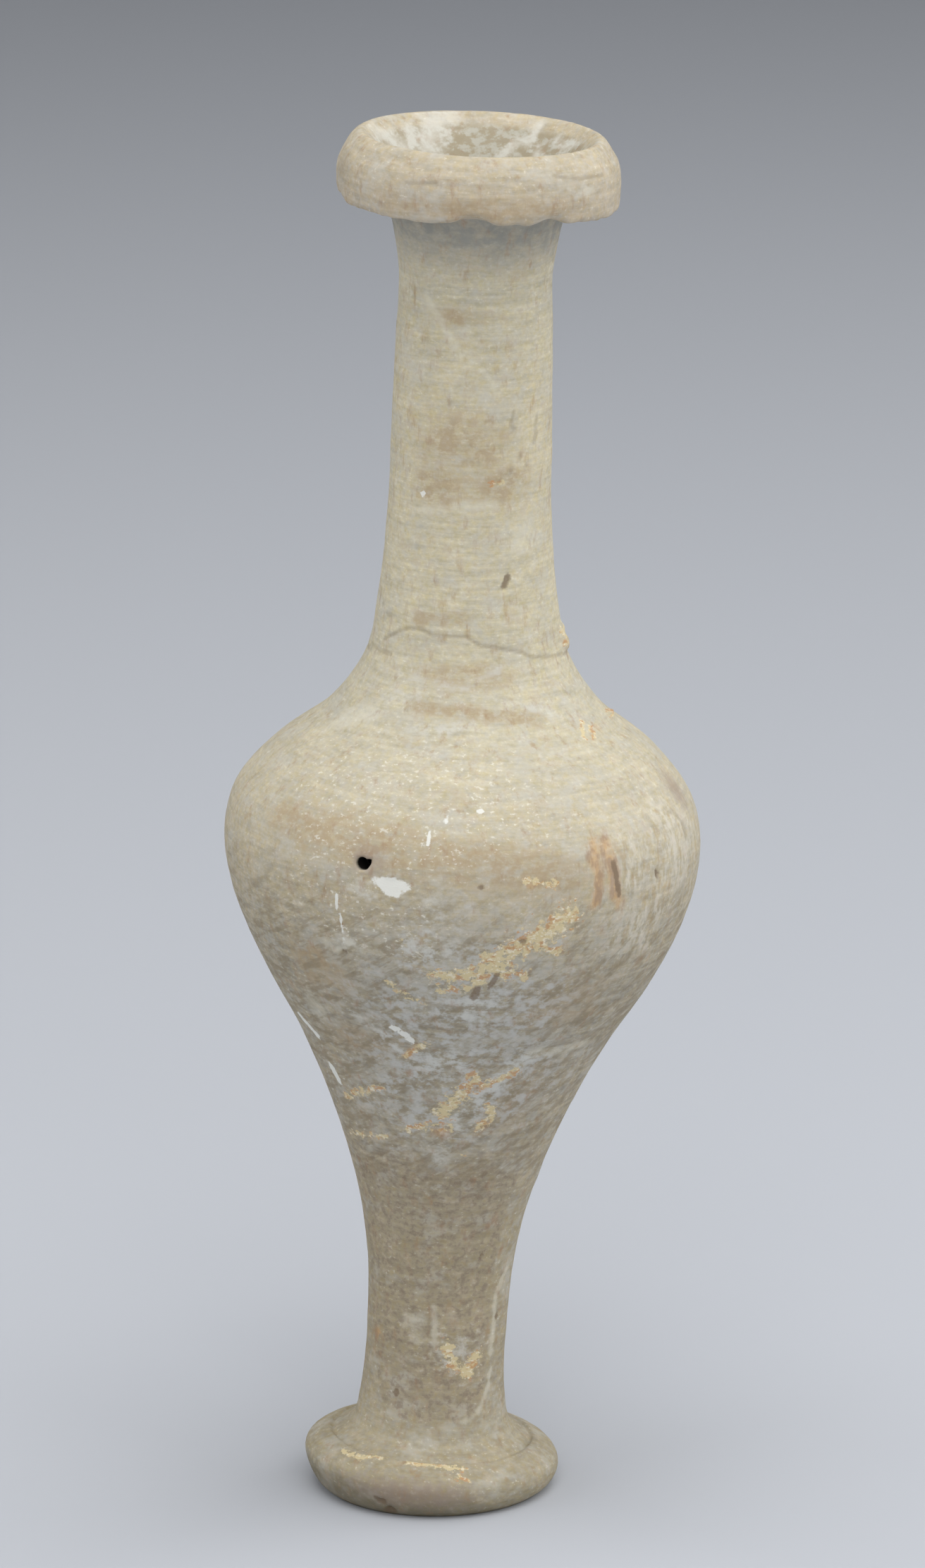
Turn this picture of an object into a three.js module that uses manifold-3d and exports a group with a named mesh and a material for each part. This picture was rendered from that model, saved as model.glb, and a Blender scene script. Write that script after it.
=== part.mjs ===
// Spindle unguentarium: a small bottle for scented oil, thrown in pale grey-beige clay and fired.
// It is one piece of pottery, so it is one mesh. Millimetres, +Z up, the side that is shown faces -Y.
//
// How the real one was made, and how this source follows it:
//   1. the pot is thrown as a surface of revolution   -> one closed THREE.LatheGeometry profile, outside and inside
//   2. it sags and leans while the clay is soft        -> `lean` moves each ring onto a slightly bent axis
//   3. the foot is pressed flat where it stands        -> the lowest rings stay level, so the underside is a plane
//   4. the overhanging rim is nibbled with age         -> `rimChips` lifts its lower edge here and there
//   5. one small hole is worn through the belly        -> a manifold-3d subtraction
import * as THREE from "three";
import { mergeVertices } from "three/addons/utils/BufferGeometryUtils.js";
import Module from "manifold-3d";

// ---------------------------------------------------------------- driving dimensions, mm
const HEIGHT = 156.9; // floor to lip, along the axis
const SEGMENTS = 56; // facets around the pot

const SOLE_R = 12.4; // flat ring the pot stands on
const FOOT_R = 14.45; // widest part of the disc foot
const FOOT_R_H = 3.5; // height of that widest part
const FOOT_GROOVE_R = 11.3; // shallow turned groove on top of the foot
const STEM_R = 7.88; // narrowest part of the stem
const BELLY_R = 26.76; // greatest radius of the body
const BELLY_H = 75.5; // height of the greatest radius
const NECK_R = 8.5; // narrowest part of the neck
const RIM_LOW_H = 149.5; // lower edge of the overhanging rim
const RIM_R = 15.72; // greatest radius of the rim
const LIP_R = 13.35; // crest of the lip
const BORE_R = 5.8; // inside of the neck
const WALL = 3.3; // wall of the body
const CAVITY_FLOOR_H = 40; // the stem below this is solid clay

// ---------------------------------------------------------------- the profile, [radius, height]
// A smooth stretch through stations, sampled `steps` times between each pair.
function smooth(stations, steps) {
  const curve = new THREE.CatmullRomCurve3(
    stations.map(([r, h]) => new THREE.Vector3(r, h, 0)),
    false,
    "centripetal",
  );
  return curve
    .getPoints(steps * (stations.length - 1))
    .map((p) => [p.x, p.y]);
}

// The foot: a cushion-edged disc with a turned groove, then a low cone up to the stem.
const foot = [
  [0, 0],
  [SOLE_R, 0],
  [13.4, 0.8],
  [14.1, 2.0],
  [FOOT_R, FOOT_R_H],
  [14.1, 4.5],
  [13.2, 5.3],
  [12.1, 5.85],
  [FOOT_GROOVE_R + 0.35, 6.05],
  [FOOT_GROOVE_R, 5.85],
  [FOOT_GROOVE_R - 0.45, 6.25],
  [9.8, 6.8],
  [8.95, 7.7],
];

// Stem, body, shoulder and neck: one flowing line.
const wall = smooth(
  [
    [8.5, 9.1],
    [8.05, 12.6],
    [STEM_R, 18],
    [8.31, 27],
    [10.13, 36],
    [13.21, 45],
    [17.39, 54],
    [22.11, 62],
    [25.34, 69],
    [BELLY_R, BELLY_H],
    [25.9, 81.5],
    [21.7, 87],
    [15.4, 92],
    [11.39, 98],
    [9.99, 105],
    [9.2, 114],
    [8.98, 124],
    [8.67, 135],
    [NECK_R, 141],
    [9.1, 145.5],
    [9.85, 148.9],
  ],
  2,
);

// The rim: undercut beneath, an almost upright face, and a rounded lip.
const rim = [
  [11.0, 149.9],
  [14.8, RIM_LOW_H],
  [15.45, RIM_LOW_H + 0.2],
  [RIM_R, 151.2],
  [15.65, 153.2],
  [15.2, 154.7],
  [14.5, 155.9],
  [13.9, 156.6],
  [LIP_R, HEIGHT],
];

// Inside: a funnel mouth and the neck bore, then the wall follows the outside down to a pointed floor.
const mouth = [
  [12.85, HEIGHT - 0.15],
  [12.0, 155.9],
  ...smooth(
    [
      [10.6, 154.2],
      [8.2, 150.6],
      [6.7, 146.5],
      [BORE_R, 141],
    ],
    2,
  ),
];
const cavity = [
  [BORE_R + 0.1, 124],
  [BORE_R + 0.5, 106],
  [8.3, 97.5],
  [13.3, 91.2],
  [19.1, 85.8],
  [22.4, 81.2],
  [BELLY_R - WALL, 76],
  [22.3, 70.5],
  [19.0, 64.5],
  [13.4, 56],
  [8.0, 48],
  [3.2, 42],
  [0, CAVITY_FLOOR_H],
];

const profile = [...foot, ...wall, ...rim, ...mouth, ...cavity].map(
  ([r, h]) => new THREE.Vector2(r, h),
);

// ---------------------------------------------------------------- lean and sag
// Sideways drift of the axis towards +X at each height. The pot leans about two degrees, most of it low down.
const AXIS = new THREE.CatmullRomCurve3(
  [
    [0, 0],
    [-0.36, FOOT_R_H],
    [-0.3, 9],
    [0.25, 20],
    [1.49, 42],
    [2.4, 60],
    [3.1, 74],
    [3.5, 88],
    [3.87, 110],
    [4.25, 125],
    [4.75, 146],
    [5.17, HEIGHT],
  ].map(([x, h]) => new THREE.Vector3(x, h, 0)),
  false,
  "centripetal",
);
const AXIS_POINTS = AXIS.getPoints(480);

// [sideways drift, tilt of the ring in radians] at a height. The tilt eases in over the foot's edge, from a level underside.
function axisAt(h) {
  const i = Math.min(
    AXIS_POINTS.length - 2,
    Math.max(0, AXIS_POINTS.findIndex((p) => p.y > h) - 1),
  );
  const a = AXIS_POINTS[h >= HEIGHT ? AXIS_POINTS.length - 2 : i];
  const b = AXIS_POINTS[h >= HEIGHT ? AXIS_POINTS.length - 1 : i + 1];
  const t = (h - a.y) / (b.y - a.y);
  const lean = THREE.MathUtils.degToRad(
    THREE.MathUtils.lerp(3.5, 1.2, THREE.MathUtils.smoothstep(h, 60, 96)) +
      1.2 * THREE.MathUtils.smoothstep(h, 130, HEIGHT),
  );
  return [
    THREE.MathUtils.lerp(a.x, b.x, t),
    lean * THREE.MathUtils.smoothstep(h, 0, FOOT_R_H),
  ];
}

// ---------------------------------------------------------------- wear on the rim
// [bearing in degrees from the front, half width in degrees, depth in mm]
const RIM_CHIPS = [
  [-3, 48, 0.6],
  [-7, 11, 0.65],
  [29, 8, 0.45],
  [-83, 9, 0.5],
  [140, 12, 0.5],
  [-150, 10, 0.4],
];

function rimChips(bearing, h) {
  if (h < RIM_LOW_H - 0.1 || h > RIM_LOW_H + 0.3) return 0;
  return RIM_CHIPS.reduce((lift, [at, half, depth]) => {
    const away = Math.abs(((bearing - at + 540) % 360) - 180) / half;
    return lift + (away < 1 ? depth * Math.cos((away * Math.PI) / 2) ** 2 : 0);
  }, 0);
}

// ---------------------------------------------------------------- throw it, then let it lean
function pot() {
  const g = new THREE.LatheGeometry(profile, SEGMENTS);
  g.rotateX(Math.PI / 2); // the lathe turns about Y, the part stands on Z; the seam is then at the front
  g.deleteAttribute("normal");
  g.deleteAttribute("uv");
  const p = g.getAttribute("position");
  for (let i = 0; i < p.count; i++) {
    const x = p.getX(i);
    const y = p.getY(i);
    let h = p.getZ(i);
    const r = Math.hypot(x, y);
    if (r > 13 && h > 100)
      h += rimChips(THREE.MathUtils.radToDeg(Math.atan2(x, -y)), h);
    const [drift, tilt] = axisAt(h);
    p.setXYZ(i, drift + x * Math.cos(tilt), y, h - x * Math.sin(tilt));
  }
  return mergeVertices(g, 1e-3);
}

// ---------------------------------------------------------------- the small worn hole in the belly
const HOLE = { bearing: -24.8, height: 79.8, wide: 1.9, tall: 1.5 };

function holeCutter() {
  const g = new THREE.CylinderGeometry(0.5, 0.4, 9, 9);
  g.deleteAttribute("normal");
  g.deleteAttribute("uv");
  // The cylinder's own axis is Y: squash it to the hole's outline, then turn it to the bearing on the belly.
  g.rotateY(0.3);
  g.scale(HOLE.wide, 1, HOLE.tall);
  const [drift] = axisAt(HOLE.height);
  g.rotateX(Math.PI); // wide end towards the front
  g.translate(0, -(BELLY_R - 1.5), 0);
  g.rotateZ(THREE.MathUtils.degToRad(HOLE.bearing));
  g.translate(drift, 0, HOLE.height);
  return mergeVertices(g, 1e-4);
}

// ---------------------------------------------------------------- booleans
const wasm = await Module();
wasm.setup();

function solid(g) {
  return new wasm.Manifold(
    new wasm.Mesh({
      numProp: 3,
      vertProperties: new Float32Array(g.getAttribute("position").array),
      triVerts: new Uint32Array(g.index.array),
    }),
  );
}

function geometry(manifold) {
  const m = manifold.getMesh();
  const g = new THREE.BufferGeometry();
  g.setAttribute(
    "position",
    new THREE.BufferAttribute(new Float32Array(m.vertProperties), 3),
  );
  g.setIndex(new THREE.BufferAttribute(new Uint32Array(m.triVerts), 1));
  g.computeVertexNormals();
  return g;
}

const vessel = new THREE.Mesh(
  geometry(solid(pot()).subtract(solid(holeCutter()))),
  new THREE.MeshStandardMaterial({
    color: new THREE.Color(0.62, 0.56, 0.46),
    roughness: 0.85,
    metalness: 0,
  }),
);
vessel.name = "vessel";

const part = new THREE.Group();
part.name = "spindle_unguentarium";
part.add(vessel);

export default part;
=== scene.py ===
# %% [markdown]
# # A spindle bottle for scented oil
#
# The real object is an unguentarium: a little bottle of pale clay, thrown on a wheel about two thousand
# years ago. It has a disc foot, a thin stem, a swelling body, a long neck and an overhanging rim, and it
# leans a little. Rings from the wheel, a crack, small chips, lime, rust and soil are what make it look
# old.
#
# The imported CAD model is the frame: it holds the true size, the lean and the hollow inside. Here the same
# outline is drawn again as one fine surface that stands for the CAD node, so that the wear is real shape
# and not only paint.

# %% Load the frame
import math

import bpy
import numpy as np
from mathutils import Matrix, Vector


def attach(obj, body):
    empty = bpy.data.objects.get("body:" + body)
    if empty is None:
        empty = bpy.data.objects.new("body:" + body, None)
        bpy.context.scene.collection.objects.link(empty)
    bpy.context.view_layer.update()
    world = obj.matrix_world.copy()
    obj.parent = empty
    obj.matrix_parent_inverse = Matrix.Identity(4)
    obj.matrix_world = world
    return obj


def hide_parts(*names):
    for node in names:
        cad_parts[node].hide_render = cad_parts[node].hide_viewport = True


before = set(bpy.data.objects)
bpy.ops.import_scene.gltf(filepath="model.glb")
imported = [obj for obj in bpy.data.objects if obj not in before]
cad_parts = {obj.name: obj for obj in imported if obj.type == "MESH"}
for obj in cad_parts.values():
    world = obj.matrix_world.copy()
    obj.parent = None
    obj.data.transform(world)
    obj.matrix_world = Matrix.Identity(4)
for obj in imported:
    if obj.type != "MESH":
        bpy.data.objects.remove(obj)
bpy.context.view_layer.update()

MM = 0.001  # the shapes below are worked out in millimetres, and Blender's unit is the metre

scene = bpy.context.scene
scene.view_settings.view_transform = "Standard"

# %% [markdown]
# ## The camera
#
# A small thing is photographed from about a metre away with a long lens, a little from above. A wide lens
# close by would make the rim too large for the foot.

# %% Camera
camera = bpy.data.objects.new("camera", bpy.data.cameras.new("camera"))
scene.collection.objects.link(camera)
scene.camera = camera
camera.data.sensor_width = 36.0
camera.data.lens = 211.5
camera.data.clip_end = 20.0
camera.location = (0.0, -1.0, 0.350)
aim = Vector((0.00317, 0.0, 0.08265))
camera.rotation_euler = (aim - camera.location).to_track_quat("-Z", "Y").to_euler()

# %% [markdown]
# ## The floor and the light
#
# The floor is a pale sheet that curves up far behind, as in a studio, so no horizon crosses the bottle
# from the front, and a camera behind the bottle still stands before the bend. The strongest of seven soft
# lights hangs above: it makes the shoulder the brightest part and leaves the stem in the shade of the
# body. Two in front and one at each side fill that shade, and one at each side behind draws the edges.


# %% Floor
BEND_START, BEND_RADIUS = 1.5, 0.6  # metres


def sweep_surface(across, along):
    """A sheet that lies flat, then bends up through a quarter circle, then stands: for a length s along
    the sheet, (y, z) is (s, 0), then (start + R sin a, R - R cos a) with a = (s - start) / R, then
    straight up."""
    turn = np.clip((along - BEND_START) / BEND_RADIUS, 0, math.pi / 2)
    y = np.minimum(along, BEND_START) + BEND_RADIUS * np.sin(turn)
    rise = np.maximum(along - BEND_START - BEND_RADIUS * math.pi / 2, 0)
    z = BEND_RADIUS * (1 - np.cos(turn)) + rise
    return np.stack(np.broadcast_arrays(across[:, None], y[None], z[None]), -1)


def grid_faces(rows, columns):
    """Quads between neighbours on a grid of points that is stored row by row."""
    first = (np.arange(rows - 1)[:, None] * columns + np.arange(columns - 1)).ravel()
    return np.stack([first, first + columns, first + columns + 1, first + 1], -1)


def mesh_object(name, points, faces):
    """An object at the origin whose mesh is these points, in metres, and these faces, shaded smooth."""
    mesh = bpy.data.meshes.new(name)
    mesh.from_pydata(points.tolist(), [], faces)
    mesh.polygons.foreach_set("use_smooth", np.ones(len(mesh.polygons), bool))
    mesh.update()
    made = bpy.data.objects.new(name, mesh)
    scene.collection.objects.link(made)
    return made


sweep_points = sweep_surface(np.linspace(-2.0, 2.0, 2), np.linspace(-1.6, 4.4, 60))
floor = mesh_object("floor", sweep_points.reshape(-1, 3), grid_faces(2, 60).tolist())

paper = bpy.data.materials.new("backdrop_paper")
paper.use_nodes = True
paper_shader = paper.node_tree.nodes["Principled BSDF"]
paper_shader.inputs["Base Color"].default_value = (0.50, 0.52, 0.56, 1)
paper_shader.inputs["Roughness"].default_value = 0.9
paper_shader.inputs["Specular IOR Level"].default_value = 0.2
floor.data.materials.append(paper)


# %% Lights
def soft_light(name, place, wide, tall, power, tint=(1, 1, 1)):
    """A rectangular sheet of light at place, in metres, that faces the middle of the bottle."""
    sheet = bpy.data.lights.new(name, "AREA")
    sheet.shape = "RECTANGLE"
    sheet.size, sheet.size_y = wide, tall
    sheet.energy = power
    sheet.color = tint
    made = bpy.data.objects.new(name, sheet)
    scene.collection.objects.link(made)
    made.location = place
    to_bottle = Vector((0, 0, 0.08)) - Vector(place)
    made.rotation_euler = to_bottle.to_track_quat("-Z", "Y").to_euler()
    return made


soft_light("overhead", (0.05, -0.10, 1.00), 1.0, 0.9, 7.3)
soft_light("overhead_front", (0.10, -0.60, 0.85), 0.9, 0.6, 2.7)
soft_light("front", (0.10, -1.30, 0.50), 0.9, 0.7, 4.2)
soft_light("left", (-0.90, -0.35, 0.45), 0.7, 0.9, 2.4)
soft_light("right", (0.90, -0.35, 0.45), 0.7, 0.9, 2.4)
soft_light("behind_left", (-0.80, 0.35, 0.45), 0.7, 0.9, 2.0)
soft_light("behind_right", (0.80, 0.35, 0.45), 0.7, 0.9, 3.5)

room = bpy.data.worlds.new("room")
room.use_nodes = True
room.node_tree.nodes["Background"].inputs["Color"].default_value = (0.9, 0.95, 1, 1)
room.node_tree.nodes["Background"].inputs["Strength"].default_value = 0.05
scene.world = room

# %% [markdown]
# ## The outline
#
# A thrown pot is a turned shape, so half of its outline is enough. It is drawn as stations of radius and
# height, the same ones as in the CAD source, and a curve passes through them. The real outline is soft
# almost everywhere and sharp only at the sole, at the turned groove and at the rim's lower edge, so it is
# drawn as separate stretches that meet in corners. Each stretch gets rows of points as close together as
# its detail needs.


# %% Curve through stations
def curve_through(stations, steps=40):
    """A smooth line through points: on each span a cubic leaves and arrives along the slope that its
    neighbours give, with spans timed by the square root of their length (a centripetal Catmull-Rom
    curve)."""
    p = np.asarray(stations, float)
    p = np.vstack([2 * p[0] - p[1], p, 2 * p[-1] - p[-2]])
    before, start, end, after = p[:-3], p[1:-2], p[2:-1], p[3:]

    def root(a, b):
        return np.maximum(np.sqrt(np.linalg.norm(b - a, axis=1)), 1e-6)[:, None]

    t0, t1, t2 = root(before, start), root(start, end), root(end, after)
    leave = (start - before) / t0 - (end - before) / (t0 + t1) + (end - start) / t1
    arrive = (end - start) / t1 - (after - start) / (t1 + t2) + (after - end) / t2
    leave, arrive = leave * t1, arrive * t1
    w = np.linspace(0, 1, steps, endpoint=False)[:, None, None]
    line = (
        start
        + leave * w
        + (3 * (end - start) - 2 * leave - arrive) * w**2
        + (2 * (start - end) + leave + arrive) * w**3
    )
    return np.vstack([line.transpose(1, 0, 2).reshape(-1, p.shape[1]), p[-2]])


def even_rows(line, spacing):
    """The same line with points at even steps of about `spacing` along it."""
    run = np.r_[0, np.cumsum(np.hypot(*np.diff(line, axis=0).T))]
    steps = max(1, round(run[-1] / spacing))
    at = np.linspace(0, run[-1], steps + 1)
    return np.stack([np.interp(at, run, line[:, k]) for k in (0, 1)], -1)


# %% Stations, radius and height in mm
SOLE_R, FOOT_R, FOOT_R_H = 12.4, 14.45, 3.5
BELLY_R, HEIGHT, RIM_LOW_H = 26.76, 156.9, 149.5

foot_edge = curve_through(
    [(SOLE_R, 0), (13.4, 0.8), (14.1, 2.0), (FOOT_R, FOOT_R_H), (14.1, 4.5), (13.2, 5.3)]
    + [(12.1, 5.85), (11.65, 6.05)]
)
groove = curve_through([(11.65, 6.05), (11.3, 5.85), (10.85, 6.25)])
foot_top = curve_through([(10.85, 6.25), (9.8, 6.8), (8.95, 7.7), (8.5, 9.1)])
wall = curve_through(
    [(8.5, 9.1), (8.05, 12.6), (7.88, 18), (8.31, 27), (10.13, 36), (13.21, 45)]
    + [(17.39, 54), (22.11, 62), (25.34, 69), (BELLY_R, 75.5), (25.9, 81.5)]
    + [(21.7, 87), (15.4, 92), (11.39, 98), (9.99, 105), (9.2, 114), (8.98, 124)]
    + [(8.67, 135), (8.5, 141), (9.1, 145.5), (9.85, 148.9)]
)
under_rim = curve_through([(9.85, 148.9), (10.9, 149.85), (12.8, 149.9), (14.8, RIM_LOW_H)])
rim_face = curve_through(
    [(14.8, RIM_LOW_H), (15.45, 149.7), (15.72, 151.2), (15.65, 153.2), (15.2, 154.7)]
    + [(14.5, 155.9), (13.9, 156.6), (13.35, HEIGHT), (12.85, 156.75), (12.0, 155.9)]
)
mouth = curve_through([(12.0, 155.9), (10.6, 154.2), (8.2, 150.6), (6.7, 146.5), (5.8, 141)])
cavity = curve_through(
    [(5.8, 141), (5.9, 124), (6.3, 106), (8.3, 97.5), (13.3, 91.2), (19.1, 85.8)]
    + [(22.4, 81.2), (23.46, 76), (22.3, 70.5), (19.0, 64.5), (13.4, 56), (8.0, 48)]
    + [(3.2, 42), (0.6, 40.1)]
)


# %% Rows of points up the outside and down the inside
def between(line, low, high):
    """The part of a line whose heights lie between low and high, with both ends cut exactly."""
    heights = line[:, 1]
    order = np.argsort(heights)
    ends = [(np.interp(h, heights[order], line[order, 0]), h) for h in (low, high)]
    inner = line[(heights > low) & (heights < high)]
    made = np.vstack([ends[:1], inner[np.argsort(inner[:, 1])], ends[1:]])
    return made if line[0, 1] < line[-1, 1] else made[::-1]


HOLE_BEARING, HOLE_H, HOLE_IN_H = -24.8, 79.6, 79.4
HOLE_BAND = 2.7  # rows are closer together for this many mm above and below the hole
stretches = [
    even_rows(np.array([(1.5, 0), (SOLE_R, 0)]), 2.2),
    even_rows(foot_edge, 0.36),
    even_rows(groove, 0.2),
    even_rows(foot_top, 0.4),
    even_rows(between(wall, 9.1, 42), 0.9),
    even_rows(between(wall, 42, HOLE_H - HOLE_BAND), 0.72),
    even_rows(between(wall, HOLE_H - HOLE_BAND, HOLE_H + HOLE_BAND), 0.27),
    even_rows(between(wall, HOLE_H + HOLE_BAND, 97.5), 0.72),
    even_rows(between(wall, 97.5, 103.5), 0.3),
    even_rows(between(wall, 103.5, 148.9), 0.85),
    even_rows(under_rim, 0.45),
    even_rows(rim_face, 0.27),
    even_rows(mouth, 0.8),
    even_rows(between(cavity, HOLE_H + HOLE_BAND, 141), 3.5),
    even_rows(between(cavity, HOLE_H - HOLE_BAND, HOLE_H + HOLE_BAND), 0.32),
    even_rows(between(cavity, 40.1, HOLE_H - HOLE_BAND), 3.0),
]
profile = np.vstack([stretches[0][:1]] + [s[1:] for s in stretches])
OUTER_STRETCHES = 12  # from the sole to the lip
outer_rows = 1 + sum(len(s) - 1 for s in stretches[:OUTER_STRETCHES])
print("rows:", len(profile), "of which outside:", outer_rows)


# %% Columns of points around
def spaced_bearings(count):
    """Bearings in degrees, 0 at the front and growing towards +X, a gap apart. The gap is small on the
    front, where the small marks are, and smallest beside the worn hole."""
    b = np.linspace(-180, 180, 7201)
    gap = 1.0 + 1.1 * np.clip((np.abs(b) - 85) / 45, 0, 1)
    gap -= 0.5 * np.exp(-(((b - HOLE_BEARING) / 5) ** 2))
    filled = np.r_[0, np.cumsum((1 / gap[1:] + 1 / gap[:-1]) / 2)]
    return np.interp(np.linspace(0, filled[-1], count, endpoint=False), filled, b)


bearings = spaced_bearings(254)
rows, columns = len(profile), len(bearings)
row_run = np.r_[0, np.cumsum(np.hypot(*np.diff(profile, axis=0).T))]
outside = (np.arange(rows) < outer_rows)[:, None]
print("points:", rows * columns)

# %% [markdown]
# ## A hole in the grid
#
# One small hole is worn right through the belly. Blender could cut it with a Boolean, but the grid can do
# it cleanly. A square block of cells is left out of the outer wall and another of the inner wall, and the
# lines of the grid bend round the gap as wood grain bends round a knot, so that the edge of the gap takes
# the outline of the hole. Later a short tube of faces joins the two walls.

# %% Bend the grid round the hole
HALF_BLOCK = 4  # the block left out is this many cells to each side of its middle
REACH = 2.4  # the bending ends at this many half blocks from the middle


def hole_edge(angle):
    """Distance from the hole's middle to its edge, in mm, for an angle from the right: one broad lobe
    to the left, a narrow one up to the right, and a notch between them."""
    corners = np.array([(-180, 0.94), (-130, 0.80), (-90, 0.70), (-45, 0.72), (-10, 0.78)])
    corners = np.vstack([corners, [(35, 1.16), (58, 0.70), (95, 0.80), (140, 0.92), (180, 0.94)]])
    return np.interp(np.degrees(angle), *corners.T)


def bend_round_hole(bearing, run, middle_row, upward):
    """Moves grid points in or out along lines from the hole's middle: a point on the rim of the block
    goes to the hole's edge, a point REACH half blocks away stays, and those between keep their share of
    the way."""
    right = np.arange(columns) - middle_column
    up = upward * (np.arange(rows)[:, None] - middle_row)
    ring = np.maximum(np.abs(right), np.abs(up)) / HALF_BLOCK
    near = (ring >= 1) & (ring < REACH)
    scale = np.radians(profile[middle_row, 0])
    u = (bearing - bearing[middle_row, middle_column]) * scale
    v = upward * (run - run[middle_row, middle_column])
    reached = np.hypot(u, v) / np.maximum(ring, 1e-9)
    edge = hole_edge(np.arctan2(v, u))
    wanted = edge + (REACH * reached - edge) * (ring - 1) / (REACH - 1)
    grow = np.where(near, wanted / np.maximum(np.hypot(u, v), 1e-9) - 1, 0)
    return bearing + grow * u / scale, run + upward * grow * v


middle_column = int(np.argmin(np.abs(bearings - HOLE_BEARING)))
outer_middle = int(np.argmin(np.where(outside[:, 0], np.abs(profile[:, 1] - HOLE_H), 1e3)))
inner_middle = int(np.argmin(np.where(outside[:, 0], 1e3, np.abs(profile[:, 1] - HOLE_IN_H))))
bearing = np.repeat(bearings[None], rows, axis=0)
run = np.repeat(row_run[:, None], columns, axis=1)
bearing, run = bend_round_hole(bearing, run, outer_middle, 1)
bearing, run = bend_round_hole(bearing, run, inner_middle, -1)
radius = np.interp(run, row_run, profile[:, 0])
height = np.interp(run, row_run, profile[:, 1])
around = np.radians(bearing)
turned = np.stack([radius * np.sin(around), -radius * np.cos(around), height], -1)

# %% [markdown]
# ## Lean and sag
#
# While the clay was soft the pot leaned over and its foot was pressed flat on the board. So each ring of
# the turned shape is slid sideways along a slightly bent axis and tipped square to it, and only the
# lowest ring stays level.

# %% The bent axis
axis_line = curve_through(
    [(0, 0), (-0.36, FOOT_R_H), (-0.3, 9), (0.25, 20), (1.49, 42), (2.4, 60), (3.1, 74)]
    + [(3.5, 88), (3.87, 110), (4.25, 125), (4.75, 146), (5.17, HEIGHT)]
)


def s_curve(value, low, high):
    """0 below low, 1 above high, and 3t^2 - 2t^3 between."""
    t = np.clip((value - low) / (high - low), 0, 1)
    return t * t * (3 - 2 * t)


def on_axis(x, y, h):
    """Moves points of the straight pot onto the leaning axis: a point at (x, y) on the ring at height h
    goes to (drift + x cos tip, y, h - x sin tip), where drift and tip are the axis's sideways place and
    slope at h."""
    drift = np.interp(h, axis_line[:, 1], axis_line[:, 0])
    tip = 3.5 - 2.3 * s_curve(h, 60, 96) + 1.2 * s_curve(h, 130, HEIGHT)
    tip = np.radians(tip) * s_curve(h, 0, FOOT_R_H)
    return np.stack([drift + x * np.cos(tip), y, h - x * np.sin(tip)], -1)


# %% [markdown]
# ## Places on the surface
#
# Every mark below is given as a potter would point at it: how far round from the front, in degrees, and
# how high, in millimetres. `across_and_up` turns that into millimetres along the clay, and `spot` and
# `stroke` draw with it.

# %% Spots and strokes
lip_row = int(np.argmax(profile[:, 1]))
climbing = np.maximum.accumulate(profile[:lip_row, 1])
sinking = np.minimum.accumulate(profile[lip_row:, 1])


def wrap(angle):
    """The same angle between -180 and 180 degrees."""
    return (angle + 180) % 360 - 180


def run_at(at_height, within=False):
    """How far along the outline the outer wall, or the wall within, is at a height."""
    if within:
        return np.interp(-np.asarray(at_height), -sinking, row_run[lip_row:])
    return np.interp(at_height, climbing, row_run[:lip_row])


def across_and_up(at_bearing, at_height, within=False):
    """Millimetres to the right of a place, round the pot, and millimetres above it, up the wall. Points
    on the other wall count as a metre above."""
    up = run_at(at_height, within) - run if within else run - run_at(at_height)
    same_side = (run > row_run[lip_row]) == within
    return radius * np.radians(wrap(bearing - at_bearing)), np.where(same_side, up, 1e3)


def spot(at_bearing, at_height, wide, tall, slant=0.0, within=False):
    """An oval mark, 1 in its middle, 0 on its edge and less outside: one less the distance to the
    middle, measured in half widths. A positive slant, in degrees, lifts its right end."""
    u, v = across_and_up(at_bearing, at_height, within)
    c, s = math.cos(math.radians(slant)), math.sin(math.radians(slant))
    return 1 - np.hypot((u * c + v * s) * 2 / wide, (v * c - u * s) * 2 / tall)


def stroke(path, wide, within=False):
    """A drawn line, 1 along its middle and 0 at its edge: one less the distance to the nearest of its
    straight pieces, in half widths. Exactly opposite a piece its two ends lie to different sides, so
    the formula finds it again there, and every line also shows once more on the far side of the pot."""
    nearest = np.full((rows, columns), 1e3)
    for start, end in zip(path, path[1:]):
        u0, v0 = across_and_up(*start, within)
        u1, v1 = across_and_up(*end, within)
        du, dv = u0 - u1, v0 - v1
        share = np.clip((u0 * du + v0 * dv) / (du**2 + dv**2 + 1e-9), 0, 1)
        nearest = np.minimum(nearest, np.hypot(u0 - share * du, v0 - share * dv))
    return 1 - nearest * 2 / wide


def together(*marks):
    """The strongest of several marks at each point, cut to lie between -1 and 1."""
    return np.clip(np.maximum.reduce(marks), -1, 1)


# %% Random lumps
lattice = np.random.default_rng(11).random((32, 32, 32))


def lumps(size, squash=(1, 1, 1)):
    """Smooth random lumps about `size` mm across, from -1 to 1: random numbers on a lattice of cubes,
    blended between the corners by the s-curve. squash divides the lumps' x, y and z lengths."""
    cell = turned * np.asarray(squash) / size + 0.37
    low = np.floor(cell).astype(int)
    t = cell - low
    t = t * t * (3 - 2 * t)
    total = 0.0
    for corner in np.ndindex(2, 2, 2):
        share = np.prod(np.where(corner, t, 1 - t), axis=-1)
        i, j, k = np.moveaxis((low + corner) % 32, -1, 0)
        total = total + share * lattice[i, j, k]
    return 2 * total - 1


# %% [markdown]
# ## Wear as real shape
#
# The height of the surface is changed along its own normal. The wheel left shallow rings, fingers left
# soft dents, and grains and lime stand out of the clay. Then come the single marks: the crack round the
# root of the neck, two lumps of lime crust on the right, pits where grit fell out, the shallow scar of a
# flake and a crease low on the body.

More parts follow.
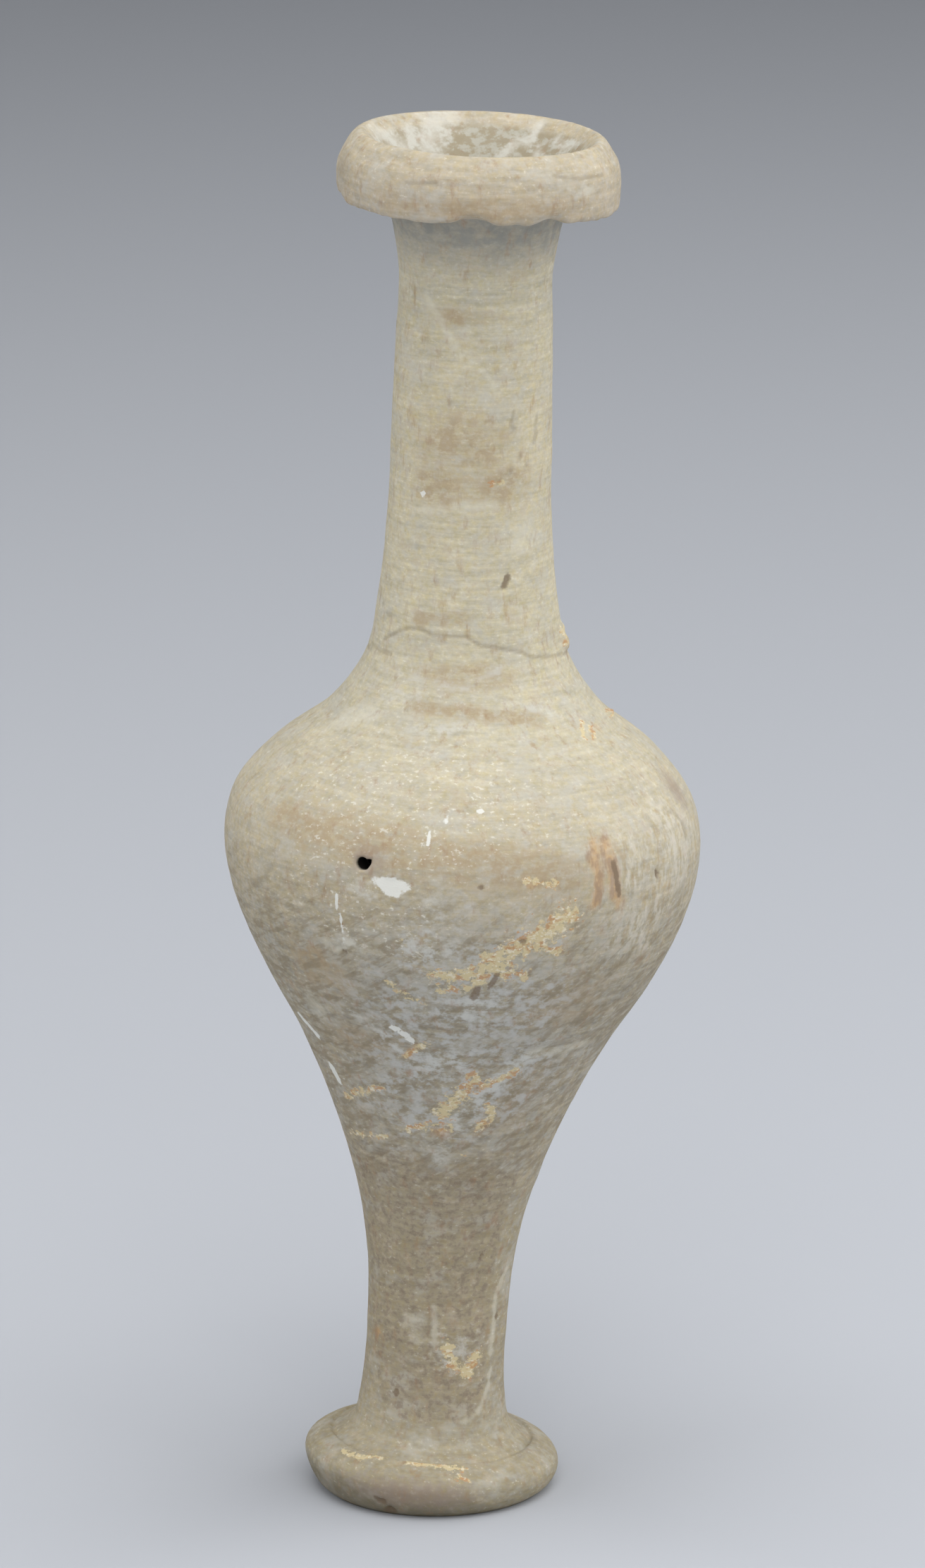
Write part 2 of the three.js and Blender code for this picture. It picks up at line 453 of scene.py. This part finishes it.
# %% Relief in mm, outwards
face = s_curve(height, 1.0, 3.0) * outside
on_rim = s_curve(run, run_at(149.2), run_at(149.6)) * outside
rings = 0.035 * lumps(2.6, (0.12, 0.12, 1)) + 0.02 * lumps(1.3, (0.1, 0.1, 1))
dents = 0.10 * lumps(13) + 0.03 * lumps(5)
sand = 0.045 * lumps(0.7) + 0.06 * lumps(0.9, (0.15, 0.15, 1))
grains = 0.02 * lumps(0.9) + on_rim * sand
relief = face * (rings + dents * (1 - on_rim) + grains)

crack_path = [(-60, 100.7), (-51, 101.5), (-46, 102.1), (-38, 102.6), (-30, 102.7)]
crack_path += [(-22, 102.2), (-1, 102.3), (8, 101.3), (17, 101.1), (35, 100.2), (41, 99.6)]
crack_path += [(54, 99.2), (64, 99.0), (80, 98.5), (100, 98.8), (130, 99.8)]
crack = stroke(crack_path, 0.42)
relief -= 0.12 * np.clip(crack, 0, 1)

crust = together(spot(85, 100.2, 3.0, 4.2), spot(90, 91.2, 3.0, 1.2))
relief += s_curve(crust, 0, 0.5) * (0.45 + 0.2 * lumps(0.9))

pits = together(
    spot(25.5, 108.2, 0.9, 1.9, -28),
    spot(-10.5, 105.6, 1.1, 0.9),
    spot(-31, 68.6, 1.5, 1.2),
    spot(54, 77.6, 1.1, 1.7, 10),
    spot(-24.8, 1.8, 1.9, 0.8, -10),
    spot(-21.5, 0.8, 1.6, 1.4),
)
relief -= 0.45 * np.clip(pits * 1.5, 0, 1)

flake_scar = stroke([(-21.5, 77.9), (-17.5, 77.2), (-13, 78.0)], 2.2)
relief -= 0.10 * s_curve(flake_scar, 0, 0.25)
crease = stroke([(24, 57.4), (31, 57.0), (37, 56.8), (45, 57.2), (57, 59.0), (68, 62)], 1.0)
relief -= 0.10 * s_curve(crease, 0, 1)

# %% [markdown]
# ## The nibbled rim
#
# The overhanging edge of the rim has crumbled in scallops. A scallop lifts the lower edge and draws the
# face above it back a little, and both fade out within a few millimetres of the edge.

# %% Rim chips
rim_chips = [(-3, 13, 0.95), (31, 11, 0.70), (-82, 13, 0.45), (16, 6, 0.15), (72, 34, -0.35)]
rim_chips += [(140, 12, 0.5), (-150, 10, 0.4), (178, 7, 0.35), (103, 6, 0.3), (-118, 8, 0.3)]
lift = 0.10 * lumps(1.1) + 0.10 * lumps(2.6)
for at, half, depth in rim_chips:
    away = np.clip(np.abs(wrap(bearing - at)) / half, 0, 1)
    lift = lift + depth * np.cos(away * math.pi / 2) ** 2

edge_row = int(np.argmin(np.hypot(*(profile - (15.0, RIM_LOW_H)).T)))
from_edge = np.abs(run - row_run[edge_row])
lift = lift * np.exp(-((from_edge / 1.3) ** 2)) * (height > 148)
print("deepest rim chip, mm:", round(float(lift.max()), 2))

# %% Move the points
slope = np.gradient(profile, row_run, axis=0)
normal = np.stack([slope[:, 1], -slope[:, 0]], -1)
normal /= np.linalg.norm(normal, axis=1, keepdims=True)
worn_radius = radius + relief * normal[:, :1] - 0.3 * lift * (normal[:, :1] > 0.3)
worn_height = height + relief * normal[:, 1:] + lift
worn = on_axis(worn_radius * np.sin(around), -worn_radius * np.cos(around), worn_height)

# %% [markdown]
# ## One closed skin
#
# The skin runs from the middle of the sole up the outside, over the lip and down the inside to the floor
# of the cavity. Each cell of the grid is a face, the two ends are closed with fans, and the worn hole is
# lined by a tube of faces from the outer wall to the inner one.

# %% The tube through the wall
side = np.arange(-HALF_BLOCK, HALF_BLOCK)
flat = np.full_like(side, HALF_BLOCK)
loop_right = np.r_[side, flat, -side, -flat]
loop_up = np.r_[-flat, side, flat, -side]
outer_loop = (outer_middle + loop_up) * columns + middle_column + loop_right
inner_loop = (inner_middle - loop_up) * columns + middle_column + loop_right


def through_wall(points, steps=5):
    """Rings of points from the hole's outer edge to its inner edge, straight lines cut in equal steps."""
    share = np.linspace(0, 1, steps + 1)[1:-1, None, None]
    start, end = points[outer_loop], points[inner_loop]
    return (start + (end - start) * share).reshape(-1, points.shape[1])


grid_count = rows * columns
grid_points = worn.reshape(-1, 3)
FLOOR_H = 40.0  # the floor of the cavity
poles = on_axis(np.zeros(2), np.zeros(2), np.array([0.0, FLOOR_H]))
tube_points = through_wall(grid_points)
all_points = np.vstack([grid_points, poles, tube_points])
print("points in the tube:", len(tube_points))

# %% Faces
at = np.arange(grid_count).reshape(rows, columns)
beside = np.roll(at, -1, axis=1)
cells = np.stack([at[:-1], beside[:-1], beside[1:], at[1:]], -1)
kept = np.ones((rows - 1, columns), bool)
block = slice(middle_column - HALF_BLOCK, middle_column + HALF_BLOCK)
kept[outer_middle - HALF_BLOCK : outer_middle + HALF_BLOCK, block] = False
kept[inner_middle - HALF_BLOCK : inner_middle + HALF_BLOCK, block] = False

tube_rings = grid_count + 2 + np.arange(len(tube_points)).reshape(-1, len(outer_loop))
tube_rings = np.vstack([outer_loop, tube_rings, inner_loop])
tube_next = np.roll(tube_rings, -1, axis=1)
tube_cells = np.stack([tube_rings[:-1], tube_next[:-1], tube_next[1:], tube_rings[1:]], -1)
quads = np.vstack([cells[kept], tube_cells.reshape(-1, 4)])
sole_fan = np.stack([np.full(columns, grid_count), beside[0], at[0]], -1)
floor_fan = np.stack([np.full(columns, grid_count + 1), at[-1], beside[-1]], -1)
fans = np.vstack([sole_fan, floor_fan])

used = np.unique(np.r_[quads.ravel(), fans.ravel()])
new_number = np.zeros(len(all_points), int)
new_number[used] = np.arange(len(used))
vessel = mesh_object(
    "spindle_bottle",
    all_points[used] * MM,
    new_number[quads].tolist() + new_number[fans].tolist(),
)
print("triangles:", 2 * len(quads) + len(fans))

# %% [markdown]
# ## Where the marks lie
#
# Lime, rust, ochre and soil each get a number at every point of the skin: 1 in the middle of a mark, 0 on
# its edge and less outside. A painted contact shadow low on the foot is stored the same way. The material
# adds fine noise to that number before it cuts it at 0, so a mark that is drawn as a plain oval here gets
# the ragged edge of a real stain, and a wide faint mark breaks up into crumbs. A texture painted by hand
# would do as well, but this stays sharp at any distance.

# %% Flakes and lines of white lime
white = together(
    spot(-17.5, 77.7, 4.4, 1.5, -4),
    spot(-17, 77.1, 2.6, 1.6, 0),
    spot(-19.5, 77.9, 2.2, 0.9, 8),
    spot(4, 85.7, 1.0, 0.8),
    spot(-5, 84.9, 0.9, 0.8),
    stroke([(-9, 83.4), (-9, 82.4)], 0.5),
    spot(-36, 117.6, 0.8, 0.8),
    stroke([(-32, 76.3), (-31, 73.6), (-30, 72.2), (-30, 69.9)], 0.4),
    stroke([(-20, 59.6), (-17, 59.0), (-14, 58.0)], 0.9),
    stroke([(-58, 51.4), (-56, 49.8)], 1.1),
    stroke([(-66, 56.9), (-58, 55.0)], 1.0),
)

# %% Pale lines and films
pale = together(
    stroke([(-39, 139.8), (-33, 138.5), (-24, 137.0), (-18, 135.5)], 0.8),
    stroke([(-18, 135.5), (-10, 133.9), (-1, 132.9), (6, 132.3), (16, 129.9)], 0.6),
    stroke([(-35, 116.1), (-19, 116.3)], 0.8),
    stroke([(-11, 116.7), (0, 116.7)], 0.8),
    stroke([(4, 116.9), (18, 116.9)], 0.5),
    spot(38, 112.8, 5.0, 3.0, 20),
    spot(49, 152.9, 2.4, 1.0, 10),
    stroke([(-64, 91.4), (-57, 92.4), (-47, 93.2)], 2.4),
    stroke([(54, 15.6), (50, 13.4), (40, 11.0), (23, 9.7)], 0.6),
    stroke([(23, 9.7), (0, 9.5), (-20, 9.4), (-44, 9.9)], 0.4),
    stroke([(64, 27.5), (53, 24.5), (52, 17.2)], 0.8),
    stroke([(-4, 23.2), (-1, 18.7)], 0.7),
    spot(-20, 21.5, 2.6, 1.4),
    spot(-15, 19.4, 1.6, 1.0),
    spot(-49, 59.9, 2.6, 3.0, 20),
    stroke([(-36, 69.4), (-33, 68.6), (-29, 69.7), (-26, 69.4)], 0.9),
    stroke([(27, 56.9), (37, 56.6), (50, 56.8)], 1.2),
)
milky = together(
    stroke([(-44, 95.1), (-28, 95.3)], 2.2),
    stroke([(-24, 92.4), (-11, 92.6), (3, 93.1)], 2.2),
    stroke([(14, 95.6), (22, 95.2), (42, 93.8)], 2.2),
    stroke([(-40, 97.3), (0, 97.0), (18, 98.8)], 1.6),
    spot(-7, 75.0, 6.0, 6.0),
    spot(-9, 70.6, 10.0, 5.0),
    spot(3, 63.0, 10.0, 5.0, 10),
    spot(-3, 55.5, 9.0, 7.0),
    spot(-30, 69.8, 6.0, 3.0),
    stroke([(31, 57.8), (24, 55.8), (15, 52.0), (6, 48.6), (-2, 45.2), (-6, 42)], 3.2),
    stroke([(-34, 60.5), (-24, 58.6), (-16, 55.4), (-8, 53.0)], 2.0),
    spot(-7, 38.0, 3.0, 3.0),
    spot(16, 17.8, 8.0, 6.5),
    spot(-24, 77.0, 8.0, 4.0),
)
lime_within = together(
    stroke([(-160, 156.4), (-153, 155.4), (-145, 153.2)], 3.6, True),
    stroke([(-104, 155.8), (-120, 154.8), (-128, 153.8)], 2.6, True),
    stroke([(-138, 155.8), (-136, 154.2), (-128, 153.6)], 1.4, True),
    stroke([(131, 155.3), (121, 154.7), (112, 155.3)], 1.2, True),
    stroke([(147, 156.2), (148, 154.3), (158, 154.0), (164, 152.6)], 1.2, True),
    stroke([(140, 153.6), (138, 152.4)], 1.4, True),
)

# %% Crumbs of ochre and rust
crumbs = together(
    stroke([(7, 69.0), (14, 71.2), (26, 74.4)], 4.6),
    stroke([(6, 69.4), (18, 71.0), (25, 70.4)], 2.2),
    stroke([(-7, 67.2), (1, 67.4), (8, 68.6), (16, 67.4)], 2.6),
    stroke([(-5, 65.4), (1, 65.6), (7, 67.0)], 1.6),
    stroke([(-20, 66.0), (-14, 64.0), (-9, 63.4)], 1.2),
    stroke([(-9, 57.9), (-13, 57.1), (-17, 55.6)], 1.4),
    stroke([(8, 52.6), (1, 50.2), (-4, 48.2)], 3.4),
    stroke([(6, 54.0), (12, 52.2), (24, 54.4)], 1.8),
    stroke([(16, 49.6), (18, 48.0), (13, 46.8)], 2.2),
    stroke([(-20, 45.8), (-11, 46.4), (-1, 46.4)], 1.6),
    stroke([(-30, 50.8), (-41, 49.4), (-55, 47.8)], 1.6),
    stroke([(-33, 44.1), (-47, 43.5), (-64, 42.8)], 1.2),
    stroke([(53, 91.0), (58, 92.4), (62, 91.4), (57, 90.6)], 1.2),
    stroke([(15, 78.9), (22, 78.2)], 1.4),
    spot(-15, 71.2, 1.0, 0.8),
    spot(8, 42.9, 1.6, 0.9),
    stroke([(8, 18.8), (16, 16.6), (28, 15.3), (37, 17.6)], 2.4),
    stroke([(-52, 5.6), (-39, 5.6), (-34, 6.0), (-27, 6.0)], 1.3),
    stroke([(-14, 6.0), (-4, 6.0), (17, 5.8)], 1.3),
    spot(14, 5.0, 3.0, 1.6),
    spot(89, 91.4, 4.0, 1.8),
    spot(85, 100.2, 3.4, 4.6),
    spot(-6, 144.6, 1.1, 0.7),
    stroke([(13, 119.2), (22, 119.5)], 1.2),
    spot(-14, 121.7, 0.8, 0.8),
)
rust = together(
    stroke([(34, 82.2), (33, 80.2), (34, 78.2), (33, 75.6)], 1.3),
    stroke([(37, 81.8), (38, 79.8), (38.5, 77.6), (40, 75.4)], 1.5),
    spot(16, 78.3, 1.0, 0.8),
    spot(66, 91.4, 1.1, 0.7),
    spot(-4, 45.9, 1.9, 1.2),
    spot(15, 47.0, 1.8, 0.7, 20),
    spot(11, 52.1, 1.3, 0.8),
    stroke([(-13, 57.3), (-17, 55.8)], 0.8),
    spot(-8, 6.0, 2.0, 0.7),
    spot(-56, 18.9, 1.4, 1.4),
)
print("points in white lime:", int((white > 0).sum()), "in rust:", int((rust > 0).sum()))

# %% Brown specks, bruises and faint lines
brown = together(
    stroke([(38.5, 79.8), (39.5, 77.6), (40, 76.2)], 0.7),
    stroke([(4, 64.6), (5, 65.9)], 0.9),
    stroke([(8, 66.0), (9.5, 67.6)], 0.7),
    spot(25.5, 108.2, 0.9, 2.0, -28),
    spot(-10.5, 105.6, 0.7, 0.6),
    spot(4, 78.1, 0.8, 0.7),
    spot(54, 77.5, 0.8, 1.2, 10),
    spot(-31, 68.6, 0.9, 0.7),
    spot(15, 71.7, 1.0, 0.9),
    spot(31, 29.5, 0.8, 0.8),
    spot(56, 21.7, 0.7, 0.6),
    spot(-32, 12.6, 1.0, 0.9),
    stroke([(-27, 2.0), (-24, 1.7)], 0.7),
    spot(-22, 0.6, 1.8, 1.3),
)
faint = together(
    stroke([(30, 127.1), (28, 125.7), (32, 125.2)], 0.5),
    stroke([(54, 126.7), (51, 125.4), (53, 124.3), (48, 123.2)], 0.5),
    stroke([(35, 122.3), (37, 121.8), (42, 121.2)], 0.4),
    spot(-14, 125.8, 0.9, 0.6),
    spot(-6, 125.7, 1.0, 0.6),
    spot(-3, 124.0, 0.8, 0.6),
    stroke([(21, 119.7), (27, 120.2), (30, 120.7)], 0.7),
    stroke([(64, 83.3), (68, 82.5), (70, 81.2), (70, 79.7)], 0.7),
    stroke([(-69, 104.4), (-60, 103.4), (-48, 103.8)], 0.5),
    stroke([(25, 57.3), (34, 57.6), (46, 57.5), (53, 58.2), (66, 61.0)], 0.9),
    stroke([(32, 155.0), (45, 154.4), (61, 154.3)], 0.4),
    stroke([(-31, 153.7), (-18, 154.1)], 0.4),
    spot(-76, 153.4, 4.0, 3.0),
)
tan = together(
    spot(-5, 123.5, 9.0, 6.0),
    spot(-25, 119.0, 5.0, 5.0),
    spot(21, 119.0, 8.0, 3.5),
    spot(-12, 137.9, 6.0, 2.0),
    stroke([(-33, 103.9), (0, 104.4)], 1.4),
    spot(0, 97.8, 9.0, 2.6),
    stroke([(-27, 94.6), (2, 94.4), (34, 93.4)], 1.6),
    stroke([(-50, 82.5), (-20, 81.5), (5, 80.5), (24, 79.0)], 5.0),
    spot(-30, 82.0, 16, 4.0),
    spot(-40, 66.0, 8.0, 8.0),
    spot(-34, 57.0, 8.0, 5.0),
    spot(32, 63.0, 10.0, 7.0),
    spot(30, 50.5, 4.0, 9.0, -20),
    spot(2, 151.2, 18.0, 2.2),
)
bruise = together(
    spot(77, 84.3, 3.4, 4.6),
    spot(-10, 3.1, 13, 3.0),
    spot(-24, 80.0, 3.4, 3.0),
)
print("faint:", int((faint > 0).sum()), "tan:", int((tan > 0).sum()))

# %% Zones
deposit = together(spot(2, 62, 24, 24, 20), spot(-6, 52, 18, 16), spot(22, 53, 12, 12))
streaked = together(spot(45, 79.0, 9, 8.5), spot(62, 79, 14, 11), spot(48, 72, 10, 7))
dotted = together(spot(-21, 73.0, 15, 9.0), spot(-14, 86, 30, 16), spot(-36, 78, 10, 10))
stain_low = 9.6 + 6 * ((bearing + 2) / 56) ** 4  # a line like a U, lowest at the front
stem_stain = np.minimum.reduce(
    [
        (bearing + 72) / 25,
        (46 - bearing) / 6,
        height - stain_low,
        (42 - height) / 10,
        np.where(outside, 1.0, -1.0) + 0 * bearing,
    ]
)
stem_stain = np.clip(stem_stain, -1, 1)
rim_shade = np.where(outside, s_curve(height, 142.0, 147.6) * (1 - on_rim), 0)
# Painted shadow: the lowest 3 mm of the foot, most at 60 degrees left of the front, is darkened as a
# contact shadow where the foot meets the floor
foot_contact_shadow = np.where(outside, 1 - np.hypot(wrap(bearing + 60) / 80, height / 3.2), -1)
print("dotted:", int((dotted > 0).sum()), "streaked:", int((streaked > 0).sum()))

# %% Put the numbers on the skin
straight = np.vstack([turned.reshape(-1, 3), [(0, 0, 0), (0, 0, FLOOR_H)]])
straight = np.vstack([straight, through_wall(turned.reshape(-1, 3))])


def write_mark(name, grid_values, at_poles, in_tube):
    """Stores one number for each point of the skin: the grid's, then at the two poles, then in the
    hole's tube."""
    extra = np.r_[at_poles, at_poles, np.full(len(tube_points), in_tube)]
    values = np.r_[np.broadcast_to(grid_values, (rows, columns)).ravel(), extra][used]
    layer = vessel.data.attributes.new(name, "FLOAT", "POINT")
    layer.data.foreach_set("value", values.astype(np.float32))


marks = {"white": white, "pale": pale, "milky": milky, "lime_within": lime_within}
marks.update({"crumbs": crumbs, "rust": rust, "brown": brown, "faint": faint, "tan": tan})
marks.update({"bruise": bruise, "crack": np.clip(crack, -1, 1), "deposit": deposit})
marks.update({"streaked": streaked, "dotted": dotted, "stem_stain": stem_stain})
marks.update({"foot_contact_shadow": np.clip(foot_contact_shadow, -1, 1)})
for name, grid_values in marks.items():
    write_mark(name, grid_values, -1, -1)
shares = {"rim_shade": rim_shade, "within": np.where(outside, 0.0, 1.0)}
for name, grid_values in shares.items():
    write_mark(name, grid_values, 0, 0)
# Painted shade: this number is 1 only on the tube through the worn hole, where the clay is painted nearly
# black as the shade inside the hole
write_mark("hole_shade", np.zeros((1, 1)), 0, 1)
pot_layer = vessel.data.attributes.new("pot", "FLOAT_VECTOR", "POINT")
pot_layer.data.foreach_set("vector", straight[used].astype(np.float32).ravel())
print("numbers stored:", sorted(marks) + sorted(shares))

# %% [markdown]
# ## The clay
#
# The body is a buff clay, pinker where it was fired hotter, that never had a glaze. Its colour is built
# from the large to the small: a slow change up the pot, a mottle of beige, grey and tan a millimetre
# across, fine lines from the wheel, and grains. The marks lie over it. All the noise reads the
# straightened pot in millimetres, so the wheel lines stay level with the rim and follow the lean.

# %% Node helpers
clay = bpy.data.materials.new("fired_clay")
clay.use_nodes = True
tree = clay.node_tree
shader = tree.nodes["Principled BSDF"]


def add(kind, inputs=None, **settings):
    """Adds a shader node. inputs gives each socket, by name or number, a value or another node's output."""
    made = tree.nodes.new("ShaderNode" + kind)
    for key, value in settings.items():
        setattr(made, key, value)
    for key, value in (inputs or {}).items():
        if isinstance(value, bpy.types.NodeSocket):
            tree.links.new(value, made.inputs[key])
        else:
            made.inputs[key].default_value = value
    return made


def number(operation, *values):
    """Arithmetic on numbers."""
    return add("Math", dict(enumerate(values)), operation=operation).outputs[0]


def paint(red, green, blue):
    """A colour given as on a paint chart, 0 to 255, as the linear light that the shader wants."""
    c = np.array([red, green, blue]) / 255
    return (*np.where(c > 0.04045, ((c + 0.055) / 1.055) ** 2.4, c / 12.92), 1.0)


def mixed(under, over, share):
    """Lays one colour over another where share is 1."""
    return add("Mix", {0: share, 6: under, 7: over}, data_type="RGBA").outputs[2]


def rising(value, low, high, to_low=0.0, to_high=1.0):
    """An s-curve from to_low at low to to_high at high. low may be the larger of the two."""
    sockets = {"Value": value, "From Min": low, "From Max": high}
    sockets.update({"To Min": to_low, "To Max": to_high})
    return add("MapRange", sockets, interpolation_type="SMOOTHSTEP").outputs[0]


def stored(name):
    """One of the numbers stored on the skin."""
    return add("Attribute", attribute_name=name, attribute_type="GEOMETRY").outputs["Fac"]


pot_space = add("Attribute", attribute_name="pot", attribute_type="GEOMETRY").outputs["Vector"]
slanted_space = add(
    "VectorRotate", {"Vector": pot_space, "Angle": math.radians(38)}, rotation_type="Y_AXIS"
).outputs[0]


def noise(across, up, detail=2.0, roughness=0.5, shift=0.0, space=pot_space):
    """Noise from 0 to 1 whose lumps are about `across` mm wide and `up` mm tall."""
    size = (1 / across, 1 / across, 1 / up)
    sockets = {0: space, 1: size, 2: (shift, shift, shift)}
    place = add("VectorMath", sockets, operation="MULTIPLY_ADD").outputs[0]
    sockets = {"Vector": place, "Scale": 1.0, "Detail": detail, "Roughness": roughness}
    return add("TexNoise", sockets).outputs["Fac"]


# %% Slow change up the pot
RAMP_TOP = 160.0  # the height, in mm, where the ramp of colours ends
tone_stops = [
    (0, (156, 147, 124)),
    (9, (170, 161, 139)),
    (13, (164, 154, 132)),
    (30, (164, 154, 131)),
    (42, (166, 157, 138)),
    (64, (164, 156, 138)),
    (76, (184, 174, 151)),
    (92, (193, 186, 164)),
    (104, (198, 190, 165)),
    (128, (197, 188, 162)),
    (142, (194, 187, 164)),
    (149, (186, 174, 154)),
    (157, (182, 172, 150)),
]
height_share = number("DIVIDE", add("SeparateXYZ", {0: pot_space}).outputs["Z"], RAMP_TOP)
tones = add("ValToRGB", {"Fac": height_share})
band = tones.color_ramp.elements
for place, colour in tone_stops[1:-1]:
    band.new(place / RAMP_TOP)
for element, (place, colour) in zip(band, tone_stops):
    element.position = place / RAMP_TOP
    element.color = paint(*colour)
colour = tones.outputs["Color"]

# %% Mottle, wheel lines and grains
cloudy = noise(4.5, 3.2, 3.0, 0.65)
blotches = noise(1.5, 1.1, 3.0, 0.65, 7.3)
speckle = noise(0.62, 0.4, 2.0, 0.6, 3.1)
grit = noise(0.8, 0.7, 3.0, 0.65, 9.2)
wheel_lines = noise(6.0, 0.55, 3.0, 0.65, 1.7)
slanted = noise(4.0, 1.0, 3.0, 0.65, 4.4, slanted_space)
streaks = noise(1.1, 2.8, 3.0, 0.65, 5.5)


def centred(value, strength):
    """Noise moved to lie around 0."""
    return number("MULTIPLY", number("SUBTRACT", value, 0.5), strength)


def both(first, second):
    """Where two shares overlap."""
    return number("MULTIPLY", first, second)


below_belly = rising(height_share, 82 / RAMP_TOP, 68 / RAMP_TOP)
above_stem = rising(height_share, 34 / RAMP_TOP, 42 / RAMP_TOP)
lower_body = both(below_belly, above_stem)
roughened = number("MULTIPLY_ADD", lower_body, 0.6, 1.0)
light_and_dark = number("ADD", centred(blotches, 0.42), centred(speckle, 0.34))
light_and_dark = number("ADD", light_and_dark, centred(wheel_lines, 0.55))
light_and_dark = number("ADD", light_and_dark, centred(cloudy, 0.45))
light_and_dark = number("MULTIPLY_ADD", light_and_dark, roughened, 1.0)
faded = number("MULTIPLY_ADD", centred(grit, 1.6), -1.0, 1.0)
sockets = {"Value": light_and_dark, "Saturation": faded, "Color": colour}
colour = add("HueSaturation", sockets).outputs[0]
colour = mixed(colour, paint(206, 204, 195), rising(cloudy, 0.50, 0.34, 0, 0.35))
colour = mixed(colour, paint(172, 152, 122), rising(blotches, 0.52, 0.70, 0, 0.40))
colour = mixed(colour, paint(224, 221, 208), rising(speckle, 0.62, 0.76, 0, 0.40))


# %% Zones
def ragged(name, grain, wobble, soft):
    """1 inside a stored mark and 0 outside. The noise `grain` moves the edge by up to wobble half
    widths, and the change from 0 to 1 takes soft half widths to each side."""
    moved = number("MULTIPLY_ADD", number("SUBTRACT", grain, 0.5), wobble * 2, stored(name))
    return rising(moved, -soft, soft)


tint_share = both(ragged("tan", cloudy, 1.2, 0.6), rising(blotches, 0.36, 0.60, 0.15, 0.75))
colour = mixed(colour, paint(170, 150, 120), tint_share)
dark_clay = both(lower_body, rising(slanted, 0.52, 0.38, 0.0, 0.55))
colour = mixed(colour, paint(138, 125, 101), dark_clay)
spots = both(ragged("stem_stain", cloudy, 0.5, 0.3), rising(grit, 0.46, 0.66, 0.10, 0.55))
colour = mixed(colour, paint(124, 104, 80), spots)
lower_film = both(ragged("deposit", cloudy, 1.4, 0.5), rising(blotches, 0.42, 0.62, 0.05, 0.8))
colour = mixed(colour, paint(188, 189, 186), lower_film)
wisps = both(ragged("streaked", cloudy, 1.6, 0.9), rising(streaks, 0.42, 0.72))
colour = mixed(colour, paint(222, 219, 207), both(wisps, 0.85))
brown_wisps = both(ragged("streaked", cloudy, 1.6, 0.9), rising(streaks, 0.47, 0.28))
colour = mixed(colour, paint(172, 146, 112), both(brown_wisps, 0.55))
shade_share = both(stored("rim_shade"), rising(blotches, 0.35, 0.65, 0.95, 0.55))
colour = mixed(colour, paint(148, 149, 143), shade_share)
dots = both(ragged("dotted", cloudy, 0.9, 0.3), rising(speckle, 0.60, 0.70))
colour = mixed(colour, paint(220, 216, 203), both(dots, 0.65))
# painted shadow: darkens the clay low on the foot's left side as a contact shadow
colour = mixed(colour, paint(104, 97, 82), both(ragged("foot_contact_shadow", cloudy, 0.6, 0.5), 0.6))

# %% Inside the mouth
wall_tone = mixed(paint(156, 146, 124), paint(176, 174, 162), rising(blotches, 0.44, 0.60))
colour = mixed(colour, wall_tone, both(stored("within"), 0.85))

# %% Marks over the clay
crumb_tone = mixed(paint(214, 198, 156), paint(188, 142, 92), rising(blotches, 0.48, 0.62))
crumb_tone = mixed(crumb_tone, paint(228, 218, 192), rising(speckle, 0.54, 0.64))
crumb_share = both(rising(number("ADD", both(stored("crumbs"), 0.30), grit), 0.60, 0.72), 0.85)
milk_share = both(rising(number("ADD", both(stored("milky"), 0.26), blotches), 0.55, 0.85), 0.55)
rust_tone = mixed(paint(204, 162, 112), paint(158, 124, 92), rising(streaks, 0.40, 0.62))
for share, tint in [
    (milk_share, paint(208, 208, 201)),
    (both(ragged("pale", blotches, 1.3, 0.8), 0.42), paint(216, 212, 195)),
    (both(ragged("bruise", grit, 0.9, 0.7), 0.6), paint(152, 134, 120)),
    (both(ragged("rust", streaks, 2.6, 0.9), 0.7), rust_tone),
    (crumb_share, crumb_tone),
    (both(ragged("faint", blotches, 1.3, 0.7), 0.36), paint(138, 128, 112)),
    (both(ragged("brown", grit, 0.7, 0.3), 0.75), paint(122, 104, 84)),
    (both(ragged("crack", blotches, 1.0, 0.9), 0.42), paint(132, 118, 96)),
    (both(ragged("white", grit, 0.6, 0.15), 0.9), paint(230, 230, 223)),
    (both(ragged("lime_within", blotches, 1.6, 0.9), 0.55), paint(216, 215, 207)),
    # painted shade: the wall of the worn hole is nearly black
    (stored("hole_shade"), paint(30, 26, 22)),
]:
    colour = mixed(colour, tint, share)

# %% Grain of the surface
grain_height = number("MULTIPLY_ADD", speckle, 0.6, number("MULTIPLY", grit, 0.4))
bump = add("Bump", {"Height": grain_height, "Strength": 0.5, "Distance": 0.06 * MM})
tree.links.new(colour, shader.inputs["Base Color"])
tree.links.new(bump.outputs[0], shader.inputs["Normal"])
shader.inputs["Roughness"].default_value = 0.88
shader.inputs["Specular IOR Level"].default_value = 0.3
vessel.data.materials.append(clay)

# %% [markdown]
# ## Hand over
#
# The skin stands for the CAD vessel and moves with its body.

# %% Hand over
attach(vessel, "root")
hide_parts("vessel")
